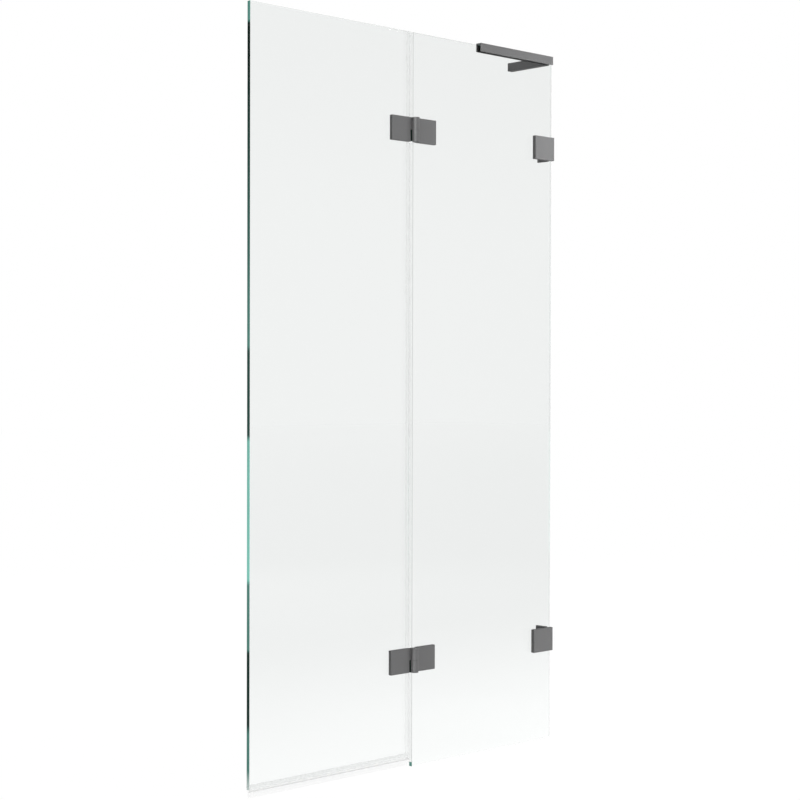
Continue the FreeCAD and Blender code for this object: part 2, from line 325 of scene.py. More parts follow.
@dataclass(frozen=True)
class ClearGlass(Finish):
    """Float glass: a thin sheet that hardly shifts what stands behind it, under the gloss of a coat.

    Its faint cast varies over the sheet.
    """

    tint: Colour = GLASS_TINT
    cast: Colour = (0.936, 0.951, 0.944)
    cast_scale: float = 2.2
    shift: float = GLASS_SHIFT
    refraction: float = 1.52

    def shade(self, recipe: Recipe) -> bpy.types.NodeSocket:
        """Builds the nodes and returns the shader."""
        colour = recipe.blend(recipe.noise(self.cast_scale), self.tint, self.cast)
        return recipe.principled({"Base Color": colour, "Roughness": 0.0, "IOR": self.shift,
                                  "Transmission Weight": 1.0, "Coat Weight": 1.0, "Coat Roughness": 0.0,
                                  "Coat IOR": self.refraction})


# Rows of a share of the pane's height, from the rim, and what holds there: a share of painted light, or
# of bare edge. The painted light stands for reflections and shade in the edge. Between rows it goes
# straight from one to the next, and beyond the first and last it stays.
HeightShares = tuple[tuple[float, float], ...]
# Painted reflections of the free edge: light and dark bands up its height.
FREE_EDGE_PAINTED_LIGHT: HeightShares = (
    (0.083, 0.33), (0.095, 0.03), (0.185, 0.03), (0.190, 0.36), (0.270, 0.36), (0.278, 1.00), (0.450, 0.80),
    (0.458, 0.09), (0.563, 0.09), (0.570, 0.39), (0.690, 0.21), (0.810, 0.08), (0.925, 0.00), (0.972, 0.00),
    (0.977, 0.44))
FREE_EDGE_BARE: HeightShares = ((0.0135, 0.46), (0.0200, 0.58), (0.0380, 1.0))
# Painted light of the sealed edge: some at the foot, none above, so its bare parts show as painted shade.
SEALED_EDGE_PAINTED_LIGHT: HeightShares = ((0.0059, 0.40), (0.0064, 0.0))
SEALED_EDGE_BARE: HeightShares = (
    (0.0059, 1.0), (0.0060, 0.0), (0.1281, 0.0), (0.1283, 1.0), (0.1600, 1.0), (0.1602, 0.0),
    (0.8523, 0.0), (0.8525, 1.0), (0.8828, 1.0), (0.8830, 0.0))


@dataclass(frozen=True)
class PolishedEdge(Finish):
    """Polished edge of a sheet: green where it is bare and seen from outside, clear elsewhere.

    Its green goes from dark to pale with a painted light share along the height, and glows with it:
    painted reflections, painted shade and a painted glow.
    """

    painted_light_shares: HeightShares
    bare_shares: HeightShares
    front_bare: float = 0.0
    front_reach: Reach = (0.0022, 0.0030)
    # Dark and pale tone of the green, blended by the painted light share: painted shade and painted light.
    deep: Colour = (0.023, 0.054, 0.042)
    pale: Colour = (0.34, 0.84, 0.71)
    # Painted glow: emission in step with the painted light share.
    glow: Colour = (0.105, 0.295, 0.245)
    height: float = 1.5
    roughness: float = 0.12
    specular: float = 0.05
    tint: Colour = GLASS_TINT
    shift: float = GLASS_SHIFT
    streak_scale: float = 9.0
    streak_painted_light: Reach = (0.9, 1.1)

    def shade(self, recipe: Recipe) -> bpy.types.NodeSocket:
        """Builds the nodes and returns the shader."""
        _, across, up = recipe.parts(recipe.place())
        level = up * (1 / self.height)
        streaks = recipe.between(recipe.noise(self.streak_scale), self.streak_painted_light)
        # Painted light: reflection bands and shade along the edge, streaked.
        light = self.banded(recipe, level, self.painted_light_shares) * streaks
        green = recipe.principled({"Base Color": recipe.blend(light, self.deep, self.pale),
                                   "Roughness": self.roughness, "Specular IOR Level": self.specular,
                                   "Emission Color": recipe.blend(light, BLACK, self.glow),
                                   "Emission Strength": 1.0})
        clear = recipe.principled({"Base Color": self.tint, "Roughness": 0.0, "IOR": self.shift,
                                   "Transmission Weight": 1.0})
        outside = 1 - recipe.value(recipe.node("ShaderNodeNewGeometry"), "Backfacing")
        front = self.front_bare * recipe.rise(0.0 - across, *self.front_reach)
        bare = self.banded(recipe, level, self.bare_shares).at_least(front)
        return recipe.mixed(outside * bare, clear, green)

    @staticmethod
    def banded(recipe: Recipe, level: Value, shares: HeightShares) -> Value:
        """Share at a level of the pane.

        Args:
            recipe: the tree under construction.
            level: share of the pane's height.
            shares: the rows to read.

        Returns:
            The share there.
        """
        steps = (recipe.ramp(level, start, end) * (after - before)
                 for (start, before), (end, after) in zip(shares, shares[1:]) if after != before)
        return sum(steps, shares[0][1])


@dataclass(frozen=True)
class GroundGlass(Finish):
    """Ground bores of a sheet: matt and pale."""

    colour: Colour = (0.66, 0.73, 0.70)
    grit_colour: Colour = (0.76, 0.82, 0.79)
    grit_scale: float = 1500.0
    grit_detail: float = 3.0
    roughness: Reach = (0.48, 0.68)
    relief: float = 0.2
    relief_depth: float = 3e-5

    def shade(self, recipe: Recipe) -> bpy.types.NodeSocket:
        """Builds the nodes and returns the shader."""
        grit = recipe.noise(self.grit_scale, self.grit_detail)
        return recipe.principled({"Base Color": recipe.blend(grit, self.colour, self.grit_colour),
                                  "Roughness": recipe.between(grit, self.roughness),
                                  "Normal": recipe.bump(grit, self.relief, self.relief_depth)})


@dataclass(frozen=True)
class SatinMetal(Finish):
    """Satin metallic coat: fine grain in its colour and surface, and a gloss that drifts."""

    colour: Colour = (0.195, 0.195, 0.197)
    grain_colour: Colour = (0.225, 0.225, 0.227)
    grain_scale: float = 1800.0
    grain_detail: float = 3.0
    metallic: float = 0.12
    specular: float = 0.25
    gloss_scale: float = 60.0
    roughness: Reach = (0.54, 0.66)
    relief: float = 0.25
    relief_depth: float = 2e-5

    def shade(self, recipe: Recipe) -> bpy.types.NodeSocket:
        """Builds the nodes and returns the shader."""
        grain = recipe.noise(self.grain_scale, self.grain_detail)
        gloss = recipe.noise(self.gloss_scale)
        return recipe.principled({"Base Color": recipe.blend(grain, self.colour, self.grain_colour),
                                  "Metallic": self.metallic, "Specular IOR Level": self.specular,
                                  "Roughness": recipe.between(gloss, self.roughness),
                                  "Normal": recipe.bump(grain, self.relief, self.relief_depth)})


@dataclass(frozen=True)
class TurnedSteel(Finish):
    """Bright steel with fine lathe marks."""

    colour: Colour = (0.50, 0.50, 0.51)
    mark_colour: Colour = (0.62, 0.62, 0.63)
    mark_scale: float = 900.0
    mark_detail: float = 4.0
    roughness: Reach = (0.22, 0.38)
    relief: float = 0.2
    relief_depth: float = 2e-5

    def shade(self, recipe: Recipe) -> bpy.types.NodeSocket:
        """Builds the nodes and returns the shader."""
        marks = recipe.noise(self.mark_scale, self.mark_detail)
        return recipe.principled({"Base Color": recipe.blend(marks, self.colour, self.mark_colour),
                                  "Metallic": 1.0, "Roughness": recipe.between(marks, self.roughness),
                                  "Normal": recipe.bump(marks, self.relief, self.relief_depth)})


@dataclass(frozen=True)
class MouldedNylon(Finish):
    """Moulded nylon with a faintly cloudy surface, off-white as it comes."""

    colour: Colour = (0.70, 0.70, 0.67)
    cloud_colour: Colour = (0.78, 0.78, 0.75)
    cloud_scale: float = 220.0
    cloud_detail: float = 3.0
    roughness: Reach = (0.38, 0.52)
    skin_scale: float = 1400.0
    relief: float = 0.15
    relief_depth: float = 2e-5

    def shade(self, recipe: Recipe) -> bpy.types.NodeSocket:
        """Builds the nodes and returns the shader."""
        cloud = recipe.noise(self.cloud_scale, self.cloud_detail)
        skin = recipe.noise(self.skin_scale)
        return recipe.principled({"Base Color": recipe.blend(cloud, self.colour, self.cloud_colour),
                                  "Roughness": recipe.between(cloud, self.roughness),
                                  "Normal": recipe.bump(skin, self.relief, self.relief_depth)})


@dataclass(frozen=True)
class GasketRubber(Finish):
    """Sheet rubber, dark as it comes, matt, with a pressed grain."""

    colour: Colour = (0.042, 0.042, 0.043)
    bloom_colour: Colour = (0.068, 0.068, 0.069)
    bloom_scale: float = 350.0
    bloom_detail: float = 4.0
    roughness: Reach = (0.62, 0.82)
    grain_scale: float = 2400.0
    relief: float = 0.3
    relief_depth: float = 3e-5

    def shade(self, recipe: Recipe) -> bpy.types.NodeSocket:
        """Builds the nodes and returns the shader."""
        bloom = recipe.noise(self.bloom_scale, self.bloom_detail)
        grain = recipe.noise(self.grain_scale)
        return recipe.principled({"Base Color": recipe.blend(bloom, self.colour, self.bloom_colour),
                                  "Roughness": recipe.between(bloom, self.roughness),
                                  "Normal": recipe.bump(grain, self.relief, self.relief_depth)})


@dataclass(frozen=True)
class ClearPlastic(Finish):
    """Clear soft plastic of the seals: streaked, and hazy with wear towards the room.

    The haze thins near the foot, which lightens the lower part where less light falls: painted light.
    """

    colour: Colour = (0.80, 0.82, 0.81)
    streak_colour: Colour = (0.87, 0.89, 0.88)
    streak_scale: float = 420.0
    streak_pace: Triple = STREAKS_UPRIGHT
    streak_haze: Reach = (0.8, 1.2)
    roughness: Reach = (0.16, 0.24)
    haze: float = 0.015
    wear: float = 0.09
    wear_depth: float = 0.004
    foot_share: float = 0.65
    foot_reach: Reach = (0.1, 0.6)

    def shade(self, recipe: Recipe) -> bpy.types.NodeSocket:
        """Builds the nodes and returns the shader."""
        streaks = recipe.noise(self.streak_scale, pace=self.streak_pace)
        _, across, up = recipe.parts(recipe.place())
        room_side = recipe.rise(0.0 - across, -self.wear_depth, self.wear_depth)
        # Less haze near the foot lightens the lower part, where less light falls: painted light.
        share = recipe.between(recipe.rise(up, *self.foot_reach), (self.foot_share, 1.0))
        haze = (self.haze + self.wear * room_side) * share * recipe.between(streaks, self.streak_haze)
        return recipe.principled({"Base Color": recipe.blend(streaks, self.colour, self.streak_colour),
                                  "Roughness": recipe.between(streaks, self.roughness), "Alpha": haze})


@dataclass
class Finishes:
    """All the materials of the part, made once."""

    glass: bpy.types.Material
    free_edge: bpy.types.Material
    sealed_edge: bpy.types.Material
    ground: bpy.types.Material
    metal: bpy.types.Material
    steel: bpy.types.Material
    nylon: bpy.types.Material
    dark_nylon: bpy.types.Material
    gasket: bpy.types.Material
    liner: bpy.types.Material
    plastic: bpy.types.Material
    milky_plastic: bpy.types.Material
    clean_plastic: bpy.types.Material
    foot_plastic: bpy.types.Material
    milky_foot_plastic: bpy.types.Material

    @classmethod
    def ready(cls) -> "Finishes":
        """Makes every material."""
        return cls(
            glass=ClearGlass("clear_float_glass").make(),
            free_edge=PolishedEdge("polished_free_edge", FREE_EDGE_PAINTED_LIGHT, FREE_EDGE_BARE).make(),
            sealed_edge=PolishedEdge("polished_sealed_edge", SEALED_EDGE_PAINTED_LIGHT, SEALED_EDGE_BARE,
                                     front_bare=0.29).make(),
            ground=GroundGlass("ground_glass").make(),
            metal=SatinMetal("satin_grey_coat").make(),
            steel=TurnedSteel("turned_steel").make(),
            nylon=MouldedNylon("white_moulded_nylon").make(),
            dark_nylon=MouldedNylon("dark_moulded_nylon", (0.020, 0.020, 0.020),
                                    (0.032, 0.032, 0.033)).make(),
            gasket=GasketRubber("gasket_rubber").make(),
            # Grey liner: partly its own colour, partly painted light against the shade in its channel behind
            # glass.
            liner=GasketRubber("liner_rubber", (0.36, 0.36, 0.363), (0.42, 0.42, 0.423)).make(),
            plastic=ClearPlastic("clear_seal_plastic").make(),
            milky_plastic=ClearPlastic("milky_seal_plastic", haze=0.14).make(),
            # A copy with little wear haze, for faces that get less light, so they show lighter: painted
            # light.
            clean_plastic=ClearPlastic("thin_haze_seal_plastic", wear=0.02).make(),
            foot_plastic=ClearPlastic("clear_foot_plastic", streak_pace=STREAKS_ALONG, wear=0.11,
                                      foot_share=1.0).make(),
            milky_foot_plastic=ClearPlastic("milky_foot_plastic", streak_pace=STREAKS_ALONG, haze=0.33,
                                            foot_share=1.0).make())


class Pick(Enum):
    """What a selection in edit mode takes."""

    EDGES = (False, True, False)
    FACES = (False, False, True)


class Workbench:
    """Hand tools: short names for the operators that shape a piece."""

    @staticmethod
    def take(pick: Pick) -> None:
        """Sets what selections take, in edit mode."""
        bpy.context.tool_settings.mesh_select_mode = pick.value

    @staticmethod
    def hold(piece: bpy.types.Object) -> None:
        """Selects one object alone and makes it active."""
        if bpy.context.object and bpy.context.object.mode != "OBJECT":
            bpy.ops.object.mode_set(mode="OBJECT")
        bpy.ops.object.select_all(action="DESELECT")
        piece.select_set(True)
        bpy.context.view_layer.objects.active = piece

    @staticmethod
    def bar(name: str, low: Vector, high: Vector) -> bpy.types.Object:
        """A cube drawn out to a box, left in edit mode with nothing selected.

        Args:
            name: the piece's name.
            low: lowest corner.
            high: highest corner.

        Returns:
            The new object.
        """
        bpy.ops.object.select_all(action="DESELECT")
        bpy.ops.mesh.primitive_cube_add(size=1.0, location=(low + high) / 2)
        piece = bpy.context.object
        piece.name = name
        piece.data.name = name
        piece.scale = high - low
        bpy.ops.object.transform_apply(location=True, rotation=True, scale=True)
        bpy.ops.object.mode_set(mode="EDIT")
        Workbench.take(Pick.FACES)
        bpy.ops.mesh.select_all(action="DESELECT")
        return piece

    @staticmethod
    def copied(node: str, name: str) -> bpy.types.Object:
        """A merged copy of a CAD node's mesh as a new object, held in object mode.

        Args:
            node: the CAD node.
            name: the new piece's name.

        Returns:
            The new object.
        """
        piece = bpy.data.objects.new(name, frame["nodes"][node].data.copy())
        piece.data.name = name
        bpy.context.scene.collection.objects.link(piece)
        Workbench.hold(piece)
        bpy.ops.mesh.customdata_custom_splitnormals_clear()
        bpy.ops.object.mode_set(mode="EDIT")
        bpy.ops.mesh.select_all(action="SELECT")
        bpy.ops.mesh.remove_doubles(threshold=MERGE_DISTANCE)
        bpy.ops.object.mode_set(mode="OBJECT")
        piece.data.materials.clear()
        return piece

    @staticmethod
    def paint_faces(piece: bpy.types.Object, slot: int, test: PlaceTest) -> None:
        """Gives the faces that pass a test one of the piece's material slots, in edit mode."""
        Workbench.pick_faces(piece, test)
        piece.active_material_index = slot
        bpy.ops.object.material_slot_assign()

    @staticmethod
    def pick_faces(piece: bpy.types.Object, test: PlaceTest) -> None:
        """Selects the faces whose middle and normal pass a test, in edit mode."""
        bpy.ops.mesh.select_all(action="DESELECT")
        mesh = bmesh.from_edit_mesh(piece.data)
        for face in mesh.faces:
            if test(face.calc_center_median(), face.normal):
                face.select_set(True)
        bmesh.update_edit_mesh(piece.data)

    @staticmethod
    def pick_edges(piece: bpy.types.Object, test: PlaceTest) -> None:
        """Selects the edges whose middle and direction pass a test, in edit mode."""
        bpy.ops.mesh.select_all(action="DESELECT")
        mesh = bmesh.from_edit_mesh(piece.data)
        for edge in mesh.edges:
            first, second = (corner.co for corner in edge.verts)
            if test((first + second) / 2, (second - first).normalized()):
                edge.select_set(True)
        bmesh.update_edit_mesh(piece.data)

    @staticmethod
    def slice(at: Vector, across: Vector) -> None:
        """Cuts the whole mesh along a plane, in edit mode."""
        bpy.ops.mesh.select_all(action="SELECT")
        bpy.ops.mesh.bisect(plane_co=at, plane_no=across)

    @staticmethod
    def pull(by: Vector) -> None:
        """Extrudes what is selected."""
        bpy.ops.mesh.extrude_region_move(TRANSFORM_OT_translate={"value": by})

    @staticmethod
    def ease(width: float, segments: int) -> None:
        """Bevels what is selected."""
        bpy.ops.mesh.bevel(offset=width, offset_type="OFFSET", segments=segments, affect="EDGES")

    @staticmethod
    def softened(piece: bpy.types.Object, width: float, segments: int) -> None:
        """Rounds every sharp edge of a piece with a Bevel modifier, and applies it.

        Args:
            piece: the piece.
            width: width of the rounding.
            segments: its steps.
        """
        Workbench.hold(piece)
        modifier = piece.modifiers.new("soft_edges", "BEVEL")
        modifier.width = width
        modifier.segments = segments
        modifier.limit_method = "ANGLE"
        modifier.angle_limit = SMOOTH_ANGLE
        bpy.ops.object.modifier_apply(modifier=modifier.name)

    @staticmethod
    def done(piece: bpy.types.Object) -> None:
        """Leaves edit mode and shades the piece smooth between its sharp edges."""
        Workbench.hold(piece)
        bpy.ops.object.shade_smooth_by_angle(angle=SMOOTH_ANGLE)

    @staticmethod
    def mount(piece: bpy.types.Object, body: Body, node: str, slot: Slot) -> None:
        """Puts a finished piece on its body in place of its CAD node.

        Args:
            piece: the piece.
            body: the CAD body that carries it.
            node: the CAD node it stands for.
            slot: the record's slot that its finish belongs to; not used.
        """
        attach(piece, body.value)
        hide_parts(node)


@dataclass
class GlassPane:
    """One sheet of glass: clear faces, polished edges that show green, ground bores."""

    node: str
    body: Body
    edge_normal: float = 0.5
    rim: float = 0.002

    def build(self, finishes: Finishes, edge: bpy.types.Material) -> bpy.types.Object:
        """Makes the pane from its CAD mesh and gives faces, edges and bores their own finish.

        Args:
            finishes: the part's materials.
            edge: the finish of its left edge.

        Returns:
            The pane.
        """
        low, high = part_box(self.node)

        def on_face(middle: Vector, normal: Vector) -> bool:
            """True on the sheet's broad faces."""
            return abs(normal.y) >= self.edge_normal

        def on_left(middle: Vector, normal: Vector) -> bool:
            """True on the left edge and its bevels."""
            return middle.x < low.x + self.rim and normal.x < -self.edge_normal

        def in_bore(middle: Vector, normal: Vector) -> bool:
            """True in the bores, away from the outline."""
            inset = min(middle.x - low.x, high.x - middle.x, middle.z - low.z, high.z - middle.z)
            return not on_face(middle, normal) and inset >= self.rim

        def on_other_edge(middle: Vector, normal: Vector) -> bool:
            """True on the top, right and bottom edges."""
            return not any(test(middle, normal) for test in (on_face, on_left, in_bore))

        piece = Workbench.copied(self.node, f"{self.node}_sheet")
        parts = ((finishes.glass, on_face), (edge, on_left), (finishes.ground, in_bore),
                 (finishes.free_edge, on_other_edge))
        for material, _ in parts:
            piece.data.materials.append(material)
        bpy.ops.object.mode_set(mode="EDIT")
        Workbench.take(Pick.FACES)
        for slot, (_, test) in enumerate(parts):
            Workbench.paint_faces(piece, slot, test)
        bpy.ops.object.mode_set(mode="OBJECT")
        bpy.ops.object.shade_flat()
        Workbench.mount(piece, self.body, self.node, Slot.GLASS)
        return piece


@dataclass
class EdgeSeal:
    """Clip on the moving pane's upright edge with a hollow bulb that closes the gap to the fixed pane."""

    node: str
    clip_foot: float
    glass: float = GLASS_THICKNESS
    glass_gap: float = GLASS_GAP
    base: float = 0.0010
    grip: float = 0.0122
    clip_play: float = 0.0012
    bulb: float = 0.0074
    bulb_wall: float = 0.0011
    nose: float = 0.0018
    nose_steps: int = 5
    corner: float = 0.0004
    lip_corner: float = 0.0005
    corner_steps: int = 3
    near: float = 0.0003
    weld: Reach = (-0.0016, 0.0005)
    wall_normal: float = 0.5
    end_normal: float = 0.3

    def build(self, finishes: Finishes) -> bpy.types.Object:
        """Models the seal and dresses it: milky at the weld of clip and bulb, thin haze at nose and ends.

        On the ends, which face -X and get less light, the thin haze is painted light.

        Args:
            finishes: the part's materials.

        Returns:
            The seal.
        """
        low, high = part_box(self.node)
        pane_edge = low.x + self.grip
        clip_end = pane_edge + self.base
        foot = max(low.z, self.clip_foot)
        half_glass = self.glass / 2 + self.glass_gap
        half_bulb = self.bulb / 2
        piece = Workbench.bar(f"{self.node}_strip", Vector((pane_edge + self.glass_gap, low.y, foot)),
                              Vector((clip_end, high.y, high.z)))
        for across in (-half_glass, -half_bulb, half_bulb, half_glass):
            Workbench.slice(Vector((0, across, 0)), Vector((0, 1, 0)))
        Workbench.pick_faces(piece, lambda middle, normal: normal.x < -ALONG_AXIS
                             and abs(middle.y) > half_glass)
        Workbench.pull(Vector((low.x + self.clip_play - pane_edge, 0, 0)))
        Workbench.pick_faces(piece, lambda middle, normal: normal.x > ALONG_AXIS
                             and abs(middle.y) < half_bulb)
        Workbench.pull(Vector((high.x - clip_end, 0, 0)))
        if foot > low.z:
            Workbench.pick_faces(piece, lambda middle, normal: normal.z < -ALONG_AXIS
                                 and middle.x > clip_end)
            Workbench.pull(Vector((0, 0, low.z - foot)))
        self.round_off(piece, low, high, clip_end)
        self.hollow(piece, low, high, clip_end)
        weld_start, weld_end = (pane_edge + away for away in self.weld)
        for across in (weld_start, weld_end):
            Workbench.slice(Vector((across, 0, 0)), Vector((1, 0, 0)))
        for material in (finishes.plastic, finishes.milky_plastic, finishes.clean_plastic):
            piece.data.materials.append(material)
        Workbench.paint_faces(piece, 1, lambda middle, normal: weld_start < middle.x < weld_end
                              and abs(normal.y) > self.wall_normal and middle.y < 0)
        # Thin haze on the faces turned to -X, which get less light, lifts them: painted light; the nose gets
        # it too.
        Workbench.paint_faces(piece, 2, lambda middle, normal: normal.x < -self.end_normal
                              or middle.x > high.x - self.nose)
        Workbench.done(piece)
        Workbench.mount(piece, Body.MOVING, self.node, Slot.PVC)
        return piece

    def round_off(self, piece: bpy.types.Object, low: Vector, high: Vector, clip_end: float) -> None:
        """Rounds the bulb's nose, the clip's back and the ends of its walls.

        Args:
            piece: the seal, in edit mode.
            low: lowest corner of the seal.
            high: highest corner of the seal.
            clip_end: where the clip ends and the bulb starts.
        """
        def upright(along: Vector) -> bool:
            """True for an upright direction."""
            return abs(along.z) > ALONG_AXIS

        def outer(middle: Vector) -> bool:
            """True at the clip's outer faces."""
            return abs(middle.y) > high.y - self.near

        Workbench.take(Pick.EDGES)
        Workbench.pick_edges(piece, lambda middle, along: upright(along) and middle.x > high.x - self.near)
        Workbench.ease(self.nose, self.nose_steps)
        Workbench.pick_edges(piece, lambda middle, along: upright(along) and outer(middle)
                             and abs(middle.x - clip_end) < self.near)
        Workbench.ease(self.corner, self.corner_steps)
        Workbench.pick_edges(piece, lambda middle, along: upright(along) and outer(middle)
                             and middle.x < low.x + self.clip_play + self.near)
        Workbench.ease(self.lip_corner, self.corner_steps)
        Workbench.take(Pick.FACES)

    def hollow(self, piece: bpy.types.Object, low: Vector, high: Vector, clip_end: float) -> None:
        """Bores the bulb from end to end.

        Args:
            piece: the seal, in edit mode.
            low: lowest corner of the seal.
            high: highest corner of the seal.
            clip_end: where the clip ends and the bulb starts.
        """
        Workbench.pick_faces(piece, lambda middle, normal: abs(normal.z) > ALONG_AXIS and middle.x > clip_end
                             and not low.z + self.near <= middle.z <= high.z - self.near)
        bpy.ops.mesh.inset(thickness=self.bulb_wall, use_individual=True)
        bpy.ops.mesh.bridge_edge_loops()


@dataclass
class BottomSeal:
    """Clip under the moving pane with a wiping lip."""

    node: str = "bottom_seal"
    glass: float = GLASS_THICKNESS
    glass_gap: float = GLASS_GAP
    grip: float = 0.010
    base: float = 0.004
    lip: float = 0.0012
    lip_sweep: float = 0.0012
    lip_steps: int = 4
    lip_corner: float = 0.00048
    corner: float = 0.0005
    corner_steps: int = 3
    near: float = 0.000125
    milky_foot: float = 0.0038

    def build(self, finishes: Finishes) -> bpy.types.Object:
        """Models the seal and gives it its finish, milky along the foot of its front wall.

        Args:
            finishes: the part's materials.

        Returns:
            The seal.
        """
        low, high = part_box(self.node)
        pane_edge = high.z - self.grip
        base_foot = pane_edge - self.base
        half_glass = self.glass / 2 + self.glass_gap
        half_lip = self.lip / 2
        piece = Workbench.bar(f"{self.node}_strip", Vector((low.x, low.y, base_foot)),
                              Vector((high.x, high.y, pane_edge - self.glass_gap)))
        for across in (-half_glass, -half_lip, half_lip, half_glass):
            Workbench.slice(Vector((0, across, 0)), Vector((0, 1, 0)))
        Workbench.pick_faces(piece, lambda middle, normal: normal.z > ALONG_AXIS
                             and abs(middle.y) > half_glass)
        Workbench.pull(Vector((0, 0, self.grip)))
        Workbench.pick_faces(piece, lambda middle, normal: normal.z < -ALONG_AXIS
                             and abs(middle.y) < half_lip)
        drop = (low.z - base_foot) / self.lip_steps
        for step in range(self.lip_steps):
            sweep = self.lip_sweep * (2 * step + 1) / self.lip_steps ** 2
            Workbench.pull(Vector((0, sweep, drop)))
        Workbench.take(Pick.EDGES)
        Workbench.pick_edges(piece, lambda middle, along: abs(along.x) > ALONG_AXIS
                             and abs(middle.y) > high.y - self.near)
        Workbench.ease(self.corner, self.corner_steps)
        Workbench.pick_edges(piece, lambda middle, along: abs(along.x) > ALONG_AXIS
                             and middle.z < low.z + self.near)
        Workbench.ease(self.lip_corner, self.corner_steps)
        Workbench.take(Pick.FACES)
        piece.data.materials.append(finishes.foot_plastic)
        piece.data.materials.append(finishes.milky_foot_plastic)
        milky_top = base_foot + self.milky_foot
        Workbench.slice(Vector((0, 0, milky_top)), Vector((0, 0, 1)))
        Workbench.paint_faces(piece, 1, lambda middle, normal: middle.z < milky_top
                              and middle.y < -half_glass)
        Workbench.done(piece)
        Workbench.mount(piece, Body.MOVING, self.node, Slot.PVC)
        return piece


@dataclass
class WallStrip:
    """Clear strip pressed between the fixed pane and the wall."""

    node: str = "wall_edge_seal"
    glass_gap: float = GLASS_GAP
    corner: float = 0.0006
    corner_steps: int = 3
    waist: float = 0.0004

    def build(self, finishes: Finishes) -> bpy.types.Object:
        """Models the strip with drawn-in sides and gives it its finish.

        Args:
            finishes: the part's materials.

        Returns:
            The strip.
        """
        low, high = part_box(self.node)
        piece = Workbench.bar(f"{self.node}_strip", low + Vector((self.glass_gap, 0, 0)), high)
        middle_x = (low.x + high.x) / 2
        Workbench.slice(Vector((middle_x, 0, 0)), Vector((1, 0, 0)))
        Workbench.take(Pick.EDGES)
        for side in (-1, 1):
            Workbench.pick_edges(piece, lambda middle, along: abs(along.z) > ALONG_AXIS
                                 and abs(middle.x - middle_x) < self.waist and middle.y * side > 0)
            bpy.ops.transform.translate(value=(0, -side * self.waist, 0))
            Workbench.ease(self.corner, self.corner_steps)
        Workbench.done(piece)
        piece.data.materials.append(finishes.plastic)
        Workbench.mount(piece, Body.FIXED, self.node, Slot.PVC)
        return piece


@dataclass
class Gasket:
    """Soft sheet between metal and glass, its rim rounded by the squeeze."""

    node: str
    body: Body
    rim: float = 0.00025
    rim_steps: int = 3

    def build(self, finish: bpy.types.Material) -> bpy.types.Object:
        """Makes the gasket from its CAD mesh, rounds its rim and gives it its finish.

        Args:
            finish: its rubber.

        Returns:
            The gasket.
        """
        piece = Workbench.copied(self.node, f"{self.node}_sheet")
        bpy.ops.object.mode_set(mode="EDIT")
        bpy.ops.mesh.select_all(action="SELECT")
        bpy.ops.mesh.dissolve_limited(angle_limit=FLAT_ANGLE)
        bpy.ops.object.mode_set(mode="OBJECT")
        Workbench.softened(piece, self.rim, self.rim_steps)
        Workbench.done(piece)
        piece.data.materials.append(finish)
        Workbench.mount(piece, self.body, self.node, Slot.GASKET)
        return piece


# What a gasket lies under, and the body that carries it.
GASKETS = (("fixed_leaf", Body.FIXED), ("moving_leaf", Body.MOVING), ("clamp_front", Body.FIXED),
           ("clamp_back", Body.FIXED))


@dataclass
class Fittings:
    """Metal and nylon pieces that keep their CAD shape and get their finish."""

    def dress(self, finishes: Finishes) -> None:
        """Gives every such CAD node the material of its slot.

        Args:
            finishes: the part's materials.
        """
        by_slot = {Slot.METAL.value: finishes.metal, Slot.STEEL.value: finishes.steel,
                   Slot.NYLON.value: finishes.nylon, Slot.DARK_NYLON.value: finishes.dark_nylon}
        for row in frame["record"]["subparts"]:
            material = by_slot.get(row["material_slot"])
            if material is None:
                continue
            mesh = frame["nodes"][row["node"]].data
            mesh.materials.clear()
            mesh.materials.append(material)
            log.info("%s takes %s", row["node"], material.name)


@dataclass
class Camera:
    """Camera of the picture: long lens from the left front, near half height."""

    place: Triple = (-2.8652, -2.5311, 0.7924)
    yaw: float = 43.572
    pitch: float = -0.684
    roll: float = 0.127
    lens: float = 77.40
    sensor: float = 36.0

    def build(self) -> None:
        """Makes the camera the scene's own."""
        yaw, pitch, roll = (math.radians(angle) for angle in (self.yaw, self.pitch, self.roll))
        ahead = Vector((math.sin(yaw) * math.cos(pitch), math.cos(yaw) * math.cos(pitch),
                        math.sin(pitch)))
        level = Vector((math.cos(yaw), -math.sin(yaw), 0))
        above = level.cross(ahead)
        right = math.cos(roll) * level + math.sin(roll) * above
        up = math.cos(roll) * above - math.sin(roll) * level
        data = bpy.data.cameras.new("camera")
        data.lens = self.lens
        data.sensor_width = self.sensor
        camera = bpy.data.objects.new("camera", data)
        turn = Matrix((right, up, -ahead)).transposed().to_4x4()
        camera.matrix_world = Matrix.Translation(Vector(self.place)) @ turn
        bpy.context.scene.collection.objects.link(camera)
        bpy.context.scene.camera = camera


@dataclass
class Lamp:
    """Soft square lamp."""

    name: str
    place: Triple
    target: Triple
    size: float
    power: float
    glint_only: bool = False

    def build(self) -> None:
        """Hangs the lamp and turns it to its target."""
        data = bpy.data.lights.new(self.name, "AREA")
        data.size = self.size
        data.energy = self.power
        lamp = bpy.data.objects.new(self.name, data)
        lamp.visible_camera = False
        lamp.visible_diffuse = not self.glint_only
        lamp.visible_glossy = self.glint_only
        lamp.visible_transmission = False
        lamp.location = self.place
        ahead = Vector(self.target) - Vector(self.place)
        lamp.rotation_euler = ahead.to_track_quat("-Z", "Y").to_euler()
        bpy.context.scene.collection.objects.link(lamp)


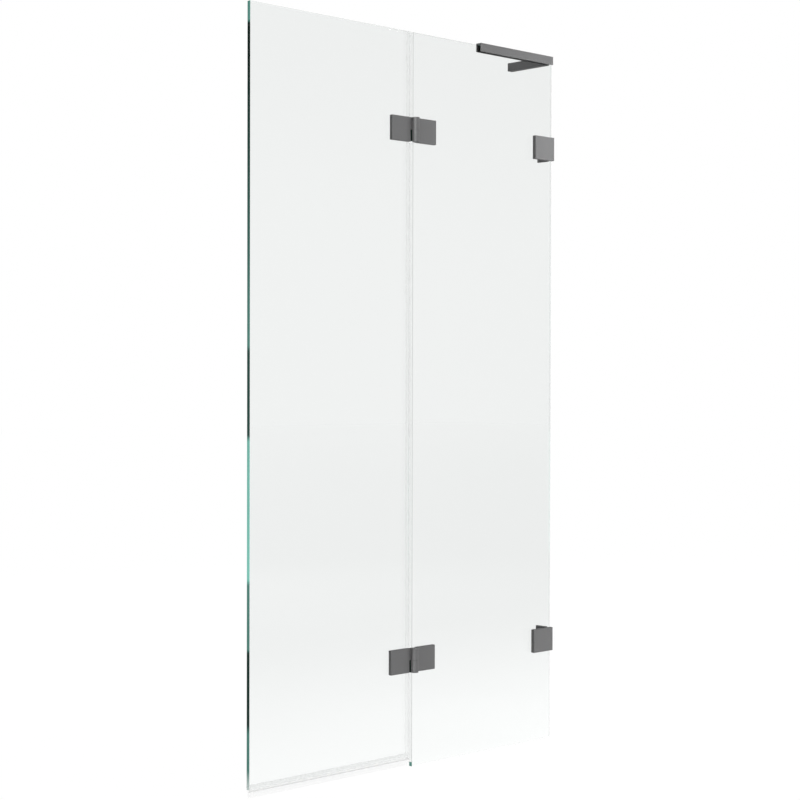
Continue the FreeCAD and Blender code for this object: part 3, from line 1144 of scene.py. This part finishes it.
LAMPS = (
    Lamp("front_lamp", (1.6, -3.0, 1.6), (-0.3, 0.0, 0.8), 1.6, 40.0),
    Lamp("fill_lamp", (-2.6, -2.7, 1.1), (-0.4, 0.0, 0.8), 1.6, 23.0),
    Lamp("high_side_lamp", (0.22, -0.40, 1.30), (-0.05, 0.0, 1.36), 0.2, 1.5),
    Lamp("low_side_lamp", (0.25, -0.45, 0.22), (-0.05, 0.0, 0.22), 0.2, 0.5),
    Lamp(GLINT_LAMP, (-2.95, -0.75, 0.9), (-0.43, 0.0, 0.76), 4.2, 360.0, glint_only=True),
    Lamp("back_lamp", (0.9, 3.0, 1.8), (-0.4, 0.0, 0.8), 1.6, 20.0))


@dataclass
class Studio:
    """White room: pale floor, white backdrop behind the object and a dimmer room in front."""

    floor_size: float = 40.0
    floor_drop: float = 0.0003
    floor_colour: Colour = (0.40, 0.40, 0.40)
    floor_shade: float = 0.04
    pool_light: float = 2.5
    pool_reach: Reach = (-0.36, 1.58)
    pool_end: Reach = (-0.30, -0.02)
    dim_reach: Reach = (-0.1, 0.1)
    back_light: float = 0.40
    far_light: float = 0.33
    far_reach: Reach = (2.9, 18.0)
    room_light: float = 0.36
    room_lean: float = 0.90
    backdrop: tuple[float, float] = (0.69, 0.72)
    backdrop_reach: Reach = (0.60, 0.85)
    front_light: float = 0.16
    level_light: float = 0.17
    level_reach: Reach = (0.08, 0.20)

    def build(self) -> None:
        """Sets the floor, the world, the lamps and the colour management."""
        bpy.context.scene.view_settings.view_transform = "Standard"
        self.lay_floor()
        self.light_world()
        for lamp in LAMPS:
            lamp.build()

    @staticmethod
    def spare(pieces: list[bpy.types.Object]) -> None:
        """Keeps the mirror image of the glint lamp off some pieces.

        Args:
            pieces: the pieces that it spares.
        """
        spared = bpy.data.collections.new("no_glint")
        for piece in pieces:
            spared.objects.link(piece)
        for row in spared.collection_objects:
            row.light_linking.link_state = "EXCLUDE"
        bpy.data.objects[GLINT_LAMP].light_linking.receiver_collection = spared

    @staticmethod
    def seen_directly(recipe: Recipe, dim_mirrors: Operand) -> Value:
        """Tells what the camera sees, also through glass, from light that falls on a surface.

        Args:
            recipe: the tree under construction.
            dim_mirrors: 1 where rays mirrored before they went through glass don't count as seen.

        Returns:
            1 for what is seen and 0 for other light.
        """
        path = recipe.node("ShaderNodeLightPath")
        bounces = recipe.value(path, "Diffuse Depth") + recipe.value(path, "Glossy Depth") * dim_mirrors
        through_glass = recipe.value(path, "Is Transmission Ray") * (1 - bounces.at_most(1.0))
        return recipe.value(path, "Is Camera Ray").at_least(through_glass)

    def lay_floor(self) -> None:
        """Lays a floor that shows white, keeps a soft shadow and mirrors as a pool of light in front."""
        bpy.ops.object.select_all(action="DESELECT")
        bpy.ops.mesh.primitive_plane_add(size=self.floor_size, location=(0, 0, -self.floor_drop))
        floor = bpy.context.object
        floor.name = "floor"
        material = bpy.data.materials.new("pale_floor")
        material.use_nodes = True
        recipe = Recipe(material.node_tree)
        path = recipe.node("ShaderNodeLightPath")
        before = 0.0 - recipe.parts(recipe.place())[1]
        ahead = recipe.rise(before, *self.pool_end)
        pool = self.pool_light * (1 - recipe.rise(before, *self.pool_reach))
        mirrored = (pool * ahead + self.far_light * recipe.rise(before, *self.far_reach)
                    + self.back_light * (1 - ahead))
        glossy = recipe.value(path, "Is Glossy Ray") * (1 - recipe.value(path, "Is Transmission Ray"))
        seen = self.seen_directly(recipe, recipe.rise(before, *self.dim_reach))
        glow = seen * (1 - self.floor_shade * self.room_light) + glossy * mirrored
        emission = recipe.node("ShaderNodeEmission", None, {"Color": WHITE, "Strength": glow})
        shade = (self.floor_shade, self.floor_shade, self.floor_shade)
        matt_colour = recipe.blend(seen, self.floor_colour, shade)
        matt_colour = recipe.blend(glossy, matt_colour, BLACK)
        matt = recipe.node("ShaderNodeBsdfDiffuse", None, {"Color": matt_colour})
        both = recipe.node("ShaderNodeAddShader", None, {0: emission.outputs[0], 1: matt.outputs[0]})
        recipe.surface(both.outputs[0])
        floor.data.materials.append(material)

    def light_world(self) -> None:
        """Makes the world white to the camera, a light all round the object and a dim front in mirrors."""
        world = bpy.data.worlds.new("white_room")
        world.use_nodes = True
        bpy.context.scene.world = world
        recipe = Recipe(world.node_tree)
        path = recipe.node("ShaderNodeLightPath")
        direction = recipe.node("ShaderNodeTexCoord").outputs["Generated"]
        right, ahead, up = recipe.parts(direction)
        behind = recipe.rise(right * self.backdrop[0] + ahead * self.backdrop[1], *self.backdrop_reach)
        front = self.front_light + self.level_light * (1 - recipe.rise(up, *self.level_reach))
        mirrored = front + (1 - front) * behind
        glossy = recipe.value(path, "Is Glossy Ray")
        direct = self.seen_directly(recipe, 1.0)
        room = self.room_light * (1 + self.room_lean * right)
        strength = direct + (1 - direct) * (glossy * mirrored + (1 - glossy) * room)
        light = recipe.node("ShaderNodeBackground", None, {"Color": WHITE, "Strength": strength})
        recipe.surface(light.outputs[0], "ShaderNodeOutputWorld")


def main() -> None:
    """Builds the studio, then every piece of the part, and reports each."""
    logging.basicConfig(level=logging.INFO, format="%(name)s: %(message)s")
    Camera().build()
    Studio().build()
    finishes = Finishes.ready()
    Fittings().dress(finishes)
    panes = [GlassPane("fixed_pane", Body.FIXED).build(finishes, finishes.sealed_edge),
             GlassPane("moving_pane", Body.MOVING).build(finishes, finishes.free_edge)]
    Studio.spare(panes)
    clip_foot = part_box("bottom_seal")[1].z
    seals = [EdgeSeal(f"{part}_edge_seal", clip_foot).build(finishes)
             for part in ("upper", "middle", "lower")]
    seals += [BottomSeal().build(finishes), WallStrip().build(finishes)]
    gaskets = [Gasket(f"{level}_{part}_gasket", body).build(finishes.gasket)
               for level in ("upper", "lower") for part, body in GASKETS]
    gaskets.append(Gasket("stabiliser_liner", Body.FIXED).build(finishes.liner))
    for piece in panes + seals + gaskets:
        log.info("%s is made, with %d faces", piece.name, len(piece.data.polygons))


if __name__ == "__main__":
    main()
